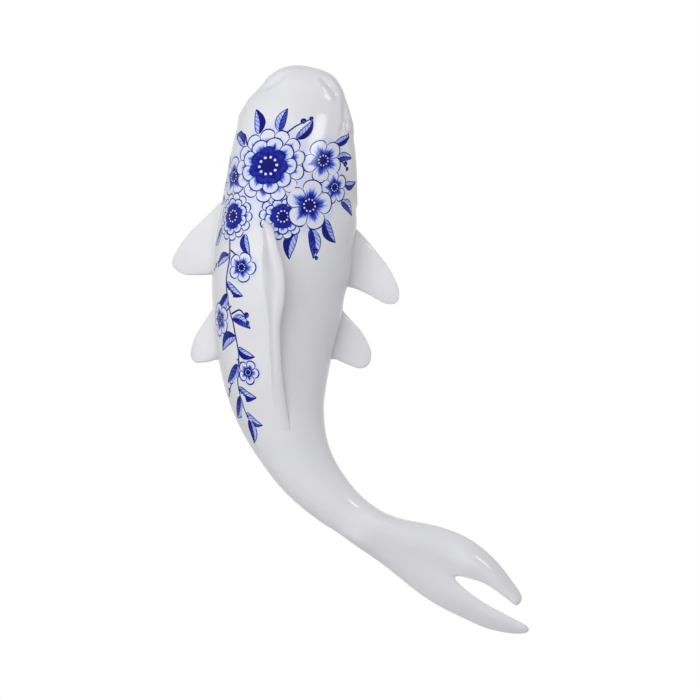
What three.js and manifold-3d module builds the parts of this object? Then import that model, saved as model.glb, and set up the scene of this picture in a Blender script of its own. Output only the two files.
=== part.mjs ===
// A porcelain koi that hangs on a wall, built the way a pottery builds one: a hollow body slip-cast
// in two shells, fins, tail and eyes cast apart and luted on, a keyhole through the belly for a wall
// screw, a pad that thickens the belly around the keyhole, and felt pads that rest on the wall.
// Millimetres. +Z is up, +X is the viewer's right and +Y points into the wall, whose face is y = 0.
// The origin is the centre of the keyhole slot's upper end, where the screw carries the fish. It lies
// straight above the centre of mass, so that the fish hangs as it is drawn here.

import * as THREE from "three";
import { mergeVertices } from "three/addons/utils/BufferGeometryUtils.js";
import Module from "manifold-3d";

const wasm = await Module();
wasm.setup();

// Casting
const wallThickness = 4; // porcelain wall of both shells
const tailEndWall = 8; // solid end of the body at the tail joint
const slipGap = 0.3; // luting gap between two pieces
const seamHeight = 18; // parting plane of the two shells above the wall
const noseLength = 10; // stretch over which the snout rounds off
const tailJointAt = 238; // station of the joint between body and tail

// Spine seen from the front, x and z from the snout to the root of the tail
const spinePoints = [
  [0, 67],
  [-4.2, 40],
  [-7.2, 5],
  [-11.9, -37.5],
  [-15.2, -75],
  [-12.9, -105],
  [-2.4, -131],
  [14.1, -151.5],
  [31.6, -165.5],
];

// Body sections by distance along the spine: half the width, the height of the back above the wall,
// the height at which the round of the belly would end, and how far the crest of the back leans
// to the left. The belly is cut flat where its round would reach past the felt pads.
const bodySections = {
  snout: { at: 0, halfWidth: 16.3, back: 26, keel: 10, crestShift: 0 },
  mouthCorners: { at: 12, halfWidth: 22, back: 31, keel: 6.5, crestShift: 1.2 },
  eyes: { at: 25, halfWidth: 27.3, back: 37, keel: 3, crestShift: 3 },
  gills: { at: 60, halfWidth: 32.6, back: 48, keel: -2, crestShift: 7 },
  girth: { at: 103, halfWidth: 34.5, back: 53, keel: -2, crestShift: 7.5 },
  vent: { at: 145, halfWidth: 28.5, back: 46, keel: -2, crestShift: 4 },
  tailStalk: { at: 200, halfWidth: 16, back: 32, keel: 4, crestShift: 0.5 },
  tailRoot: { at: 245, halfWidth: 11.3, back: 27.5, keel: 8.5, crestShift: 0 },
};

// Side fins by distance along the spine: where the leading and trailing edges leave the body, the
// station of the tip, how far the tip stands out from the flank, the share of the chord lost by the
// tip, and the power by which the fin sweeps back (1 is straight, less is hooked).
const sideFins = {
  pectoral_fin_left: { side: -1, leadAt: 70, trailAt: 109, tipAt: 103, reach: 22, taper: 0.8, sweep: 0.65 },
  pectoral_fin_right: { side: 1, leadAt: 77, trailAt: 105, tipAt: 108, reach: 26, taper: 0.22, sweep: 1.1 },
  pelvic_fin_left: { side: -1, leadAt: 123, trailAt: 149, tipAt: 144, reach: 12.2, taper: 0.5, sweep: 0.8 },
  pelvic_fin_right: { side: 1, leadAt: 118, trailAt: 144, tipAt: 145, reach: 17, taper: 0.42, sweep: 0.8 },
};
const finBelowSeam = 7; // fin root below the parting plane
const finDroop = 4; // fall of the tip towards the wall
const finRootHalfThick = 3;
const finTipHalfThick = 1.6;
const finTipRounding = 0.4; // share of the reach over which the tip rounds off
const finBury = 9; // length of the uncut fin inside the body

// Dorsal fin, a waved blade along the crest of the back
const dorsalStart = 80;
const dorsalEnd = 186;
const dorsalHeight = 13;
const dorsalFrontRise = 14; // length over which the front edge rises
const dorsalLean = 9; // overhang of the top edge to the right
const dorsalWave = 1.6; // side to side wave of the top edge
const dorsalWaveLength = 62;
const dorsalRootHalfThick = 3.2;
const dorsalEdgeHalfThick = 1.5;
const dorsalSink = 1.2; // depth at which the blade's ends run out below the skin
const dorsalBury = 6; // depth of the uncut blade inside the body

// Tail: a web from the stalk to the fork, and two lobes. Each station has its place from the middle
// of the joint (height is measured away from the wall), half its width, half its thickness and its
// twist in degrees, which turns the upper edge away from the wall.
const tailWeb = {
  fan: { x: 25.5, z: -14.4, height: -0.3, halfWidth: 13.2, halfThick: 6.4, twist: 4 },
  broadest: { x: 42, z: -22.4, height: -0.7, halfWidth: 16.6, halfThick: 4.2, twist: 11 },
  thinning: { x: 48.5, z: -26, height: -0.9, halfWidth: 13.5, halfThick: 2.8, twist: 14 },
  fork: { x: 52, z: -28, height: -1, halfWidth: 8, halfThick: 1.3, twist: 15 },
};
const tailUpperLobe = {
  root: { x: 20.5, z: -9.2, height: 0.4, halfWidth: 7.2, halfThick: 5.8, twist: -4 },
  shoulder: { x: 36.5, z: -12.4, height: 1.8, halfWidth: 8.8, halfThick: 5.6, twist: -10 },
  crown: { x: 54, z: -18, height: 3, halfWidth: 9, halfThick: 4.8, twist: -16 },
  bend: { x: 71, z: -27.2, height: 3, halfWidth: 6.4, halfThick: 3.6, twist: -18 },
  taper: { x: 80.5, z: -35.8, height: 2.2, halfWidth: 4.2, halfThick: 2.8, twist: -16 },
  tip: { x: 84.8, z: -41.6, height: 1.6, halfWidth: 2.4, halfThick: 2.1, twist: -14 },
};
const tailLowerLobe = {
  root: { x: 18.5, z: -14.7, height: -1.4, halfWidth: 7.5, halfThick: 5, twist: 2 },
  shoulder: { x: 38.5, z: -31.2, height: -3.4, halfWidth: 8.8, halfThick: 4, twist: 6 },
  blade: { x: 56.5, z: -42.8, height: -4.8, halfWidth: 7, halfThick: 3.4, twist: 8 },
  taper: { x: 73.5, z: -51.8, height: -5.8, halfWidth: 5, halfThick: 2.8, twist: 8 },
  tip: { x: 86.6, z: -56.6, height: -6.4, halfWidth: 2.6, halfThick: 2.1, twist: 6 },
};

// Eyes: beads on the sides of the head, by station and by angle from the right end of the seam. The
// fish lies rolled a little to its left, so the left eye is below the seam.
const eyeRadius = 3.4;
const eyeSink = 1.5; // depth of the bead's centre below the skin
const eyeAt = 30;
const eyeAngles = { eye_right: 20, eye_left: 198 };

// Keyhole through the belly, for a screw of up to 5 mm with a head of up to 10 mm
const slotRadius = 2.75;
const entryRadius = 5.5;
const entryDrop = 12; // from the slot's upper end down to the centre of the round entry
const keyholePadMargin = 5; // clay left around the keyhole by the pad
const keyholePadThickness = 4;
const keyholePadCorner = 4;

// Felt pads on the flat of the belly
const padThickness = 2;
const padRadius = 5;
const feltPads = {
  felt_pad_upper_left: { at: 50, sideways: -10 },
  felt_pad_upper_right: { at: 50, sideways: 10 },
  felt_pad_lower: { at: 152, sideways: 0 },
};

// Fineness of the faceted surfaces
const bodyRingPoints = 32;
const bodyRingStep = 6.5;
const noseRings = 5;
const finRingPoints = 14;
const finRings = 9;
const dorsalRings = 28;
const tailRingPoints = 16;
const tailRings = 15;
const arcSegments = 10;
const padSegments = 24;
const eyeSegments = 12;

const porcelain = new THREE.MeshStandardMaterial({ color: 0xe6e5ea, roughness: 0.12, metalness: 0 });
const bisque = new THREE.MeshStandardMaterial({ color: 0xdcd8d0, roughness: 0.7, metalness: 0 });
const felt = new THREE.MeshStandardMaterial({ color: 0x8b8884, roughness: 1, metalness: 0 });

const awayFromWall = new THREE.Vector3(0, -1, 0);

// Solids

// A manifold solid from a geometry, with its faces turned outwards.
function solidOf(geometry) {
  const bare = geometry.clone();
  bare.deleteAttribute("normal");
  bare.deleteAttribute("uv");
  const merged = mergeVertices(bare, 1e-4);
  const vertProperties = new Float32Array(merged.attributes.position.array);
  const triVerts = new Uint32Array(merged.index.array);
  const made = new wasm.Manifold(new wasm.Mesh({ numProp: 3, vertProperties, triVerts }));
  if (made.volume() > 0) return made;
  return new wasm.Manifold(new wasm.Mesh({ numProp: 3, vertProperties, triVerts: triVerts.reverse() }));
}

function geometryOf(solid) {
  const { vertProperties, triVerts } = solid.getMesh();
  const geometry = new THREE.BufferGeometry();
  geometry.setAttribute("position", new THREE.BufferAttribute(vertProperties, 3));
  geometry.setIndex(new THREE.BufferAttribute(triVerts, 1));
  geometry.computeVertexNormals();
  return geometry;
}

// A closed skin through rings of points, ended by fans about the two tips.
function loft(rings, firstTip, lastTip) {
  const points = [...rings.flat(), firstTip, lastTip];
  const perRing = rings[0].length;
  const lastRing = (rings.length - 1) * perRing;
  const faces = [];
  for (let j = 0; j < perRing; j++) {
    const next = (j + 1) % perRing;
    for (let start = 0; start < lastRing; start += perRing) {
      const above = start + perRing;
      faces.push(start + j, start + next, above + j, above + j, start + next, above + next);
    }
    faces.push(points.length - 2, next, j, points.length - 1, lastRing + j, lastRing + next);
  }
  const geometry = new THREE.BufferGeometry().setFromPoints(points);
  geometry.setIndex(faces);
  return solidOf(geometry);
}

function middleOf(ring) {
  const sum = ring.reduce((total, point) => total.add(point), new THREE.Vector3());
  return sum.divideScalar(ring.length);
}

// Everything between two heights above the wall, for cutting the body at its seam.
function layer(low, high) {
  const breadth = 4 * spineLength;
  const box = new THREE.BoxGeometry(breadth, high - low, breadth);
  box.translate(0, -(low + high) / 2, 0);
  return solidOf(box);
}

// A flat outline in x and z, extruded from one height above the wall to another.
function plate(outline, low, high) {
  const geometry = new THREE.ExtrudeGeometry(outline, {
    depth: high - low,
    bevelEnabled: false,
    curveSegments: arcSegments,
  });
  geometry.rotateX(Math.PI / 2);
  geometry.translate(0, -low, 0);
  return solidOf(geometry);
}

// Body

// A smooth curve through one value of the body sections, which never swings past them.
function sectionCurve(key) {
  const sections = Object.values(bodySections);
  const last = sections.length - 1;
  const slope = (i) => (sections[i + 1][key] - sections[i][key]) / (sections[i + 1].at - sections[i].at);
  const tangents = sections.map((_, i) => {
    if (i === 0) return slope(0);
    if (i === last) return slope(last - 1);
    const [before, after] = [slope(i - 1), slope(i)];
    return before * after > 0 ? (2 * before * after) / (before + after) : 0;
  });
  return (at) => {
    let i = 0;
    while (i < last - 1 && at > sections[i + 1].at) i++;
    const [from, to] = [sections[i], sections[i + 1]];
    const length = to.at - from.at;
    const t = (at - from.at) / length;
    const ease = t * t * (3 - 2 * t);
    const bend = t * (1 - t) * length * (tangents[i] * (1 - t) - tangents[i + 1] * t);
    return from[key] + (to[key] - from[key]) * ease + bend;
  };
}

const halfWidthAt = sectionCurve("halfWidth");
const backAt = sectionCurve("back");
const keelAt = sectionCurve("keel");
const crestShiftAt = sectionCurve("crestShift");

const spine = new THREE.CatmullRomCurve3(
  spinePoints.map(([x, z]) => new THREE.Vector3(x, 0, z)),
  false,
  "centripetal",
);
const spineLength = spine.getLength();

// A point by distance along the spine, distance to the viewer's right of it and height above the wall.
function place(at, sideways, height) {
  const share = THREE.MathUtils.clamp(at / spineLength, 0, 1);
  const along = spine.getTangentAt(share);
  const across = new THREE.Vector3(-along.z, 0, along.x);
  return spine
    .getPointAt(share)
    .addScaledVector(along, at - share * spineLength)
    .addScaledVector(across, sideways)
    .addScaledVector(awayFromWall, height);
}

// The rounding of the snout, from 0 at its tip to 1 where the body has its full section.
function noseRound(at, offset) {
  const left = Math.max(0, 1 - (at + offset) / (noseLength + offset));
  return Math.sqrt(Math.max(0, 1 - left * left));
}

// A point of the body's skin, or of a skin that lies outside it by an offset. The angle runs from
// the right flank over the back to the left flank and round under the belly.
function skinPoint(at, angle, offset = 0) {
  const round = noseRound(at, offset);
  const lift = Math.sin(angle);
  const reach = lift > 0 ? backAt(at) - seamHeight : seamHeight - keelAt(at);
  const shift = lift > 0 ? crestShiftAt(at) * lift * lift : 0;
  const sideways = round * ((halfWidthAt(at) + offset) * Math.cos(angle) - shift);
  const height = seamHeight + round * (reach + offset) * lift;
  return place(at, sideways, Math.max(height, padThickness - offset));
}

function skinRing(at, offset, count) {
  return Array.from({ length: count }, (_, i) => skinPoint(at, (2 * Math.PI * i) / count, offset));
}

// The body's full form up to a station, or a form that lies outside it by an offset.
function bodyForm(offset, end) {
  const stations = [];
  const tip = -offset;
  for (let i = 1; i <= noseRings; i++) {
    const turn = (i / noseRings) * (Math.PI / 2);
    stations.push(tip + (noseLength + offset) * (1 - Math.cos(turn)));
  }
  const steps = Math.round((end - noseLength) / bodyRingStep);
  for (let i = 1; i <= steps; i++) stations.push(noseLength + ((end - noseLength) * i) / steps);
  const rings = stations.map((at) => skinRing(at, offset, bodyRingPoints));
  return loft(rings, place(tip, 0, seamHeight), middleOf(rings.at(-1)));
}

function keyholeOutline() {
  const entryRise = Math.sqrt(entryRadius ** 2 - slotRadius ** 2);
  const entryTurn = Math.atan2(entryRise, slotRadius);
  const outline = new THREE.Path();
  outline.moveTo(slotRadius, 0);
  outline.absarc(0, 0, slotRadius, 0, Math.PI, false);
  outline.lineTo(-slotRadius, entryRise - entryDrop);
  outline.absarc(0, -entryDrop, entryRadius, Math.PI - entryTurn, 2 * Math.PI + entryTurn, false);
  outline.closePath();
  return outline;
}

function bodyShells() {
  const outside = bodyForm(0, tailJointAt);
  const hollow = bodyForm(-wallThickness, tailJointAt - tailEndWall);
  const casting = outside.subtract(hollow);
  const keyhole = plate(new THREE.Shape(keyholeOutline().getPoints(arcSegments)), 0, seamHeight);
  const top = Math.max(...Object.values(bodySections).map(({ back }) => back)) + wallThickness;
  return {
    back_shell: casting.intersect(layer(seamHeight + slipGap / 2, top)),
    belly_shell: casting.intersect(layer(0, seamHeight - slipGap / 2)).subtract(keyhole),
  };
}

// Pieces luted on the body are cut to its skin, with the luting gap between.
const lutingForm = bodyForm(slipGap, tailJointAt);

function sideFin({ side, leadAt, trailAt, tipAt, reach, taper, sweep }) {
  const rootAt = (leadAt + trailAt) / 2;
  const rootHeight = seamHeight - finBelowSeam;
  const flank = halfWidthAt(rootAt);
  const ringAt = (out) => {
    const share = Math.max(0, out / reach);
    const over = Math.max(0, (share - 1 + finTipRounding) / finTipRounding);
    const round = Math.sqrt(1 - over * over);
    const middle = THREE.MathUtils.lerp(rootAt, tipAt, share ** sweep);
    const halfChord = ((trailAt - leadAt) / 2) * (1 - taper * share) * round;
    const halfThick = THREE.MathUtils.lerp(finRootHalfThick, finTipHalfThick, share) * round;
    const height = rootHeight - finDroop * share * share;
    return Array.from({ length: finRingPoints }, (_, i) => {
      const turn = (2 * Math.PI * i) / finRingPoints;
      const at = middle + halfChord * Math.cos(turn);
      return place(at, side * (flank + out), height + halfThick * Math.sin(turn));
    });
  };
  const rings = [ringAt(-finBury)];
  for (let i = 0; i < finRings; i++) rings.push(ringAt(reach * (1 - (1 - i / finRings) ** 2)));
  const tip = place(tipAt, side * (flank + reach), rootHeight - finDroop);
  return loft(rings, middleOf(rings[0]), tip).subtract(lutingForm);
}

function dorsalFin() {
  const length = dorsalEnd - dorsalStart;
  const ringAt = (run) => {
    const at = dorsalStart + run;
    const rise = Math.sqrt(1 - Math.max(0, 1 - run / dorsalFrontRise) ** 2);
    const fall = Math.cos((Math.PI / 2) * (run / length)) ** 1.2;
    const foot = backAt(at) - dorsalSink;
    const height = (dorsalHeight + dorsalSink) * rise * fall;
    const wave = dorsalWave * Math.sin((2 * Math.PI * run) / dorsalWaveLength);
    const lean = (dorsalLean * fall + wave) * rise;
    const blade = (share, side) => {
      const halfThick = THREE.MathUtils.lerp(dorsalRootHalfThick, dorsalEdgeHalfThick, share);
      const sideways = lean * share * share + side * halfThick - crestShiftAt(at);
      return place(at, sideways, foot + share * height);
    };
    const buried = (side) =>
      place(at, side * dorsalRootHalfThick - crestShiftAt(at), backAt(at) - dorsalBury);
    const shares = [0, 0.35, 0.7, 0.94];
    const right = shares.map((share) => blade(share, 1));
    const left = shares.map((share) => blade(share, -1));
    return [buried(1), ...right, blade(1, 0), ...left.reverse(), buried(-1)];
  };
  const rings = [];
  for (let i = 0; i <= dorsalRings; i++) rings.push(ringAt(length * (i / dorsalRings) ** 1.25));
  return loft(rings, middleOf(rings[0]), middleOf(rings.at(-1))).subtract(lutingForm);
}

function eye(degrees) {
  const centre = skinPoint(eyeAt, THREE.MathUtils.degToRad(degrees), -eyeSink);
  const ball = new THREE.SphereGeometry(eyeRadius, eyeSegments, eyeSegments);
  ball.translate(centre.x, centre.y, centre.z);
  return solidOf(ball).subtract(lutingForm);
}

// A tail limb: ellipses along a smooth path through its stations, with the first ring given or not.
function tailLimb(stations, firstRing) {
  const path = new THREE.CatmullRomCurve3(
    stations.map(({ x, z, height }) => new THREE.Vector3(x, -height, z)),
  );
  const sizes = new THREE.CatmullRomCurve3(
    stations.map(({ halfWidth, halfThick, twist }) => new THREE.Vector3(halfWidth, halfThick, twist)),
  );
  const rings = [];
  for (let i = 0; i <= tailRings; i++) {
    const share = i / tailRings;
    const along = path.getTangent(share);
    const { x: halfWidth, y: halfThick, z: twist } = sizes.getPoint(share);
    const across = new THREE.Vector3(-along.z, 0, along.x).normalize();
    across.applyAxisAngle(along, THREE.MathUtils.degToRad(twist));
    const outward = new THREE.Vector3().crossVectors(along, across);
    const ellipse = Array.from({ length: tailRingPoints }, (_, j) => {
      const turn = (2 * Math.PI * j) / tailRingPoints;
      return path
        .getPoint(share)
        .addScaledVector(across, halfWidth * Math.cos(turn))
        .addScaledVector(outward, halfThick * Math.sin(turn));
    });
    rings.push(ellipse);
  }
  if (firstRing) rings[0] = firstRing;
  const tip = path.getPoint(1).addScaledVector(path.getTangent(1), stations.at(-1).halfThick);
  return loft(rings, middleOf(rings[0]), tip);
}

function tailFin() {
  const at = tailJointAt + slipGap;
  const joint = place(at, 0, (backAt(at) + keelAt(at)) / 2);
  const fromJoint = ({ x, z, height, ...sizes }) => ({
    x: joint.x + x,
    z: joint.z + z,
    height: height - joint.y,
    ...sizes,
  });
  const halfThick = (backAt(at) - keelAt(at)) / 2;
  const stalk = { x: 0, z: 0, height: 0, halfWidth: halfWidthAt(at), halfThick, twist: 0 };
  const webStations = [stalk, ...Object.values(tailWeb)].map(fromJoint);
  const web = tailLimb(webStations, skinRing(at, 0, tailRingPoints));
  const upperLobe = tailLimb(Object.values(tailUpperLobe).map(fromJoint));
  const lowerLobe = tailLimb(Object.values(tailLowerLobe).map(fromJoint));
  return web.add(upperLobe).add(lowerLobe);
}

// Wall fixings

// A slab with rounded corners on the inside of the belly, trimmed to the hollow it lies in.
function keyholePad() {
  const half = entryRadius + keyholePadMargin - keyholePadCorner;
  const top = slotRadius + keyholePadMargin - keyholePadCorner;
  const bottom = -entryDrop - half;
  const outline = new THREE.Shape();
  outline.absarc(half, top, keyholePadCorner, 0, Math.PI / 2, false);
  outline.absarc(-half, top, keyholePadCorner, Math.PI / 2, Math.PI, false);
  outline.absarc(-half, bottom, keyholePadCorner, Math.PI, 1.5 * Math.PI, false);
  outline.absarc(half, bottom, keyholePadCorner, 1.5 * Math.PI, 2 * Math.PI, false);
  outline.closePath();
  outline.holes.push(keyholeOutline());
  const floor = padThickness + wallThickness;
  const hollow = bodyForm(-wallThickness - slipGap, tailJointAt - tailEndWall);
  return plate(outline, floor, floor + slipGap + keyholePadThickness).intersect(hollow);
}

function feltPad({ at, sideways }) {
  const { x, z } = place(at, sideways, 0);
  const disc = new THREE.CylinderGeometry(padRadius, padRadius, padThickness, padSegments);
  disc.translate(x, -padThickness / 2, z);
  return solidOf(disc);
}

// Assembly

const fish = new THREE.Group();

function addPiece(name, solid, material) {
  const mesh = new THREE.Mesh(geometryOf(solid), material);
  mesh.name = name;
  fish.add(mesh);
}

for (const [name, shell] of Object.entries(bodyShells())) addPiece(name, shell, porcelain);
for (const [name, sizes] of Object.entries(sideFins)) addPiece(name, sideFin(sizes), porcelain);
addPiece("dorsal_fin", dorsalFin(), porcelain);
addPiece("tail_fin", tailFin(), porcelain);
for (const [name, degrees] of Object.entries(eyeAngles)) addPiece(name, eye(degrees), porcelain);
addPiece("keyhole_pad", keyholePad(), bisque);
for (const [name, seat] of Object.entries(feltPads)) addPiece(name, feltPad(seat), felt);

export default fish;
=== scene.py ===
import math
import bmesh
import bpy
import numpy as np
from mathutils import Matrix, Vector


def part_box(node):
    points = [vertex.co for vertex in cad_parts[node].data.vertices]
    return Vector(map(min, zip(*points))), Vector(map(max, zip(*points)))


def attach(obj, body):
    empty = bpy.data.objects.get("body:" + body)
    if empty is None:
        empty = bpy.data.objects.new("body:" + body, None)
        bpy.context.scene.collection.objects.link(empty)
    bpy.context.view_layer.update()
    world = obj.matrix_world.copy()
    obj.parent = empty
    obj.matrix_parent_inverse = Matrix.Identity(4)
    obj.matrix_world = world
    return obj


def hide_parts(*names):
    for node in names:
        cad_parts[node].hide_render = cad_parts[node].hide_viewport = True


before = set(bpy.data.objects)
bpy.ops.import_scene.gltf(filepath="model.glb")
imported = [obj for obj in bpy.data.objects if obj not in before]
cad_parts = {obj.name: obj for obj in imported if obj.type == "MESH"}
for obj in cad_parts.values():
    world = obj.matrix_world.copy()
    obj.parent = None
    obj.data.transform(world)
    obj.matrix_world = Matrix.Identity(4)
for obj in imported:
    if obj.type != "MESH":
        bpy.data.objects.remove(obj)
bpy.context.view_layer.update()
mm = 0.001  # lengths below are millimetres, meshes are metres
far = 999.0  # a place that no brush reaches


# Meshes

def newObject(name, data):
    made = bpy.data.objects.new(name, data)
    bpy.context.scene.collection.objects.link(made)
    return made


def newPiece(name, points, faces, edges=()):
    mesh = bpy.data.meshes.new(name)
    mesh.from_pydata((np.asarray(points, float) * mm).tolist(), edges, faces)
    return newObject(name, mesh)


def bakeModifiers(piece):
    graph = bpy.context.evaluated_depsgraph_get()
    baked = bpy.data.meshes.new_from_object(piece.evaluated_get(graph))
    baked.name = piece.name
    piece.modifiers.clear()
    piece.data = baked


def reworkMesh(piece, change=None):  # optional edit, then faces outwards
    work = bmesh.new()
    work.from_mesh(piece.data)
    if change:
        change(work)
    bmesh.ops.recalc_face_normals(work, faces=work.faces)
    work.to_mesh(piece.data)
    work.free()


def finishPiece(piece, material, slot, *nodes, creaseAngle=50):
    piece.data.materials.clear()
    piece.data.materials.append(material)
    piece.data.shade_smooth()
    piece.data.set_sharp_from_angle(angle=math.radians(creaseAngle))
    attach(piece, "root")
    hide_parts(*nodes)
    print("piece", piece.name, len(piece.data.polygons), "faces")


def gridFaces(rows, columns, start=0, wrap=False):
    faces = []
    for i in range(rows - 1):
        for j in range(columns if wrap else columns - 1):
            a, b = start + i * columns + j, start + i * columns + (j + 1) % columns
            faces.append((a, b, b + columns, a + columns))
    return faces


def tubePiece(name, rings):  # rings joined in a row, closed at both ends
    count = len(rings[0])
    first = list(range(count))
    last = [(len(rings) - 1) * count + k for k in first]
    faces = gridFaces(len(rings), count, wrap=True) + [first[::-1], last]
    piece = newPiece(name, np.concatenate(rings), faces)
    reworkMesh(piece)
    return piece


def fullTurn(count):
    return np.linspace(0, 2 * math.pi, count, endpoint=False)


# Nodes

class Wire:  # an output of a node, for use in sums
    def __init__(self, sketch, socket):
        self.sketch = sketch
        self.socket = socket

    def also(self, output):  # another output of the same node
        return Wire(self.sketch, self.socket.node.outputs[output])

    def __add__(self, other):
        return self.sketch.calc("ADD", self, other)

    def __sub__(self, other):
        return self.sketch.calc("SUBTRACT", self, other)

    def __rsub__(self, other):
        return self.sketch.calc("SUBTRACT", other, self)

    def __mul__(self, other):
        return self.sketch.calc("MULTIPLY", self, other)

    def __truediv__(self, other):
        return self.sketch.calc("DIVIDE", self, other)

    def __rtruediv__(self, other):
        return self.sketch.calc("DIVIDE", other, self)

    def __pow__(self, other):
        return self.sketch.calc("POWER", self, other)

    def __abs__(self):
        return self.sketch.calc("ABSOLUTE", self)


class Sketch:  # short words for wiring a node tree
    def __init__(self, tree):
        self.tree = tree

    def feed(self, socket, value):
        if isinstance(value, Wire):
            self.tree.links.new(value.socket, socket)
        else:
            socket.default_value = value

    def fill(self, node, inputs):  # sockets by name or by number
        for key, value in inputs.items():
            self.feed(node.inputs[key], value)

    def make(self, kind, inputs=None, output=0, **settings):
        node = self.tree.nodes.new(kind)
        for key, value in settings.items():
            setattr(node, key, value)
        self.fill(node, inputs or {})
        return Wire(self, node.outputs[output])

    def calc(self, operation, *values, clamp=False):
        return self.make("ShaderNodeMath", dict(enumerate(values)), operation=operation, use_clamp=clamp)

    def most(self, *values, clamp=False):
        return self.calc("MAXIMUM", *values, clamp=clamp)

    def vector(self, operation, *values):
        return self.make("ShaderNodeVectorMath", dict(enumerate(values)), operation=operation)

    def fade(self, value, start, end):  # eased, 0 at start and 1 at end
        return self.make("ShaderNodeMapRange", {"Value": value, "From Min": start, "From Max": end},
                         interpolation_type="SMOOTHSTEP")

    def drawn(self, value, line, widths):  # a fade measured in widths of the drawn line
        return self.fade(value, *(line * width for width in widths))

    def between(self, share, low, high):
        return self.make("ShaderNodeMix", {0: share, 2: low, 3: high}, data_type="FLOAT")

    def tint(self, share, low, high):
        return self.make("ShaderNodeMix", {0: share, 6: low, 7: high}, 2, data_type="RGBA")

    def noise(self, vector, scale, detail=2.0, rough=0.5):
        return self.make("ShaderNodeTexNoise",
                         {"Vector": vector, "Scale": scale, "Detail": detail, "Roughness": rough})

    def split(self, vector):
        x = self.make("ShaderNodeSeparateXYZ", {0: vector})
        return x, x.also(1), x.also(2)

    def join(self, *values):
        return self.make("ShaderNodeCombineXYZ", dict(enumerate(values)))

    def group(self, tree, inputs):
        return self.make("ShaderNodeGroup", inputs, node_tree=tree)


def newGroup(name, inputs, outputs, kind="ShaderNodeTree"):
    tree = bpy.data.node_groups.new(name, kind)
    for way, sockets in (("INPUT", inputs), ("OUTPUT", outputs)):
        for label, sort in sockets.items():
            tree.interface.new_socket(label, in_out=way, socket_type="NodeSocket" + sort)
    sketch = Sketch(tree)
    enter = {socket.name: Wire(sketch, socket) for socket in tree.nodes.new("NodeGroupInput").outputs}
    return sketch, enter, tree.nodes.new("NodeGroupOutput")


# Body form, the same rule as the CAD castings

body = {
    "spine": [(0, 67), (-4.2, 40), (-7.2, 5), (-11.9, -37.5), (-15.2, -75), (-12.9, -105),
              (-2.4, -131), (14.1, -151.5), (31.6, -165.5)],  # x and z, snout to tail root
    "sections": [  # station, half width, back, keel, lean of the crest
        (0, 16.3, 26, 10, 0),
        (12, 22, 31, 6.5, 1.2),
        (25, 27.3, 37, 3, 3),
        (60, 32.6, 48, -2, 7),
        (103, 34.5, 53, -2, 7.5),
        (145, 28.5, 46, -2, 4),
        (200, 16, 32, 4, 0.5),
        (245, 11.3, 27.5, 8.5, 0),
    ],
    "seam": 18, "wall": 4, "noseLength": 10,
    "footHeight": 2, "footSoftness": 1.2, "footEase": 4,
    "tailJoint": 238, "tailEndWall": 8,
    "ringStep": 1.0, "noseRings": 18, "halfRingPoints": 113,
    "spineSamples": 4001, "ringSamples": 1441,
    "rimNudge": 1e-6,  # keeps a rim on its own side of the seam, in radians
}


def cubic(start, end, leave, arrive, t):  # eased from start to end, with a slope at each
    ease = t * t * (3 - 2 * t)
    return start + (end - start) * ease + t * (1 - t) * (leave * (1 - t) - arrive * t)


def smoothPath(points, samples):  # centripetal curve through the points
    p = np.array(points, float)
    p = np.vstack([2 * p[0] - p[1], p, 2 * p[-1] - p[-2]])
    t = np.linspace(0, len(points) - 1, samples)
    i = np.minimum(t.astype(int), len(points) - 2)
    a, b, c, d = (p[i + k] for k in range(4))
    ab, bc, cd = (np.sqrt(np.linalg.norm(q, axis=1))[:, None] for q in (b - a, c - b, d - c))
    leave = ((b - a) / ab - (c - a) / (ab + bc) + (c - b) / bc) * bc
    arrive = ((c - b) / bc - (d - b) / (bc + cd) + (d - c) / cd) * bc
    return cubic(b, c, leave, arrive, (t - i)[:, None])


def runAlong(points):
    steps = np.linalg.norm(np.diff(points, axis=0), axis=1)
    return np.concatenate([[0], np.cumsum(steps)])


spine = smoothPath(body["spine"], body["spineSamples"])
spineRun = runAlong(spine)
spineHeading = np.gradient(spine, spineRun, axis=0)


def sectionCurve(column):
    table = np.array(body["sections"], float)
    at, value = table[:, 0], table[:, column]
    slope = np.diff(value) / np.diff(at)
    before, after = slope[:-1], slope[1:]
    agree = before * after > 0
    inner = np.where(agree, 2 * before * after / np.where(agree, before + after, 1), 0)
    tangent = np.concatenate([slope[:1], inner, slope[-1:]])

    def curve(station):
        i = np.clip(np.searchsorted(at, station) - 1, 0, len(at) - 2)
        length = at[i + 1] - at[i]
        t = (np.asarray(station, float) - at[i]) / length
        return cubic(value[i], value[i + 1], tangent[i] * length, tangent[i + 1] * length, t)

    return curve


halfWidthAt, backAt, keelAt, crestShiftAt = (sectionCurve(column) for column in (1, 2, 3, 4))


def place(station, sideways, height):  # height is away from the wall
    station, sideways, height = np.broadcast_arrays(np.asarray(station, float), sideways, height)
    x, z = (np.interp(station, spineRun, spine[:, k]) for k in (0, 1))
    dx, dz = (np.interp(station, spineRun, spineHeading[:, k]) for k in (0, 1))
    return np.stack([x - dz * sideways, -height, z + dx * sideways], -1)


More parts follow.
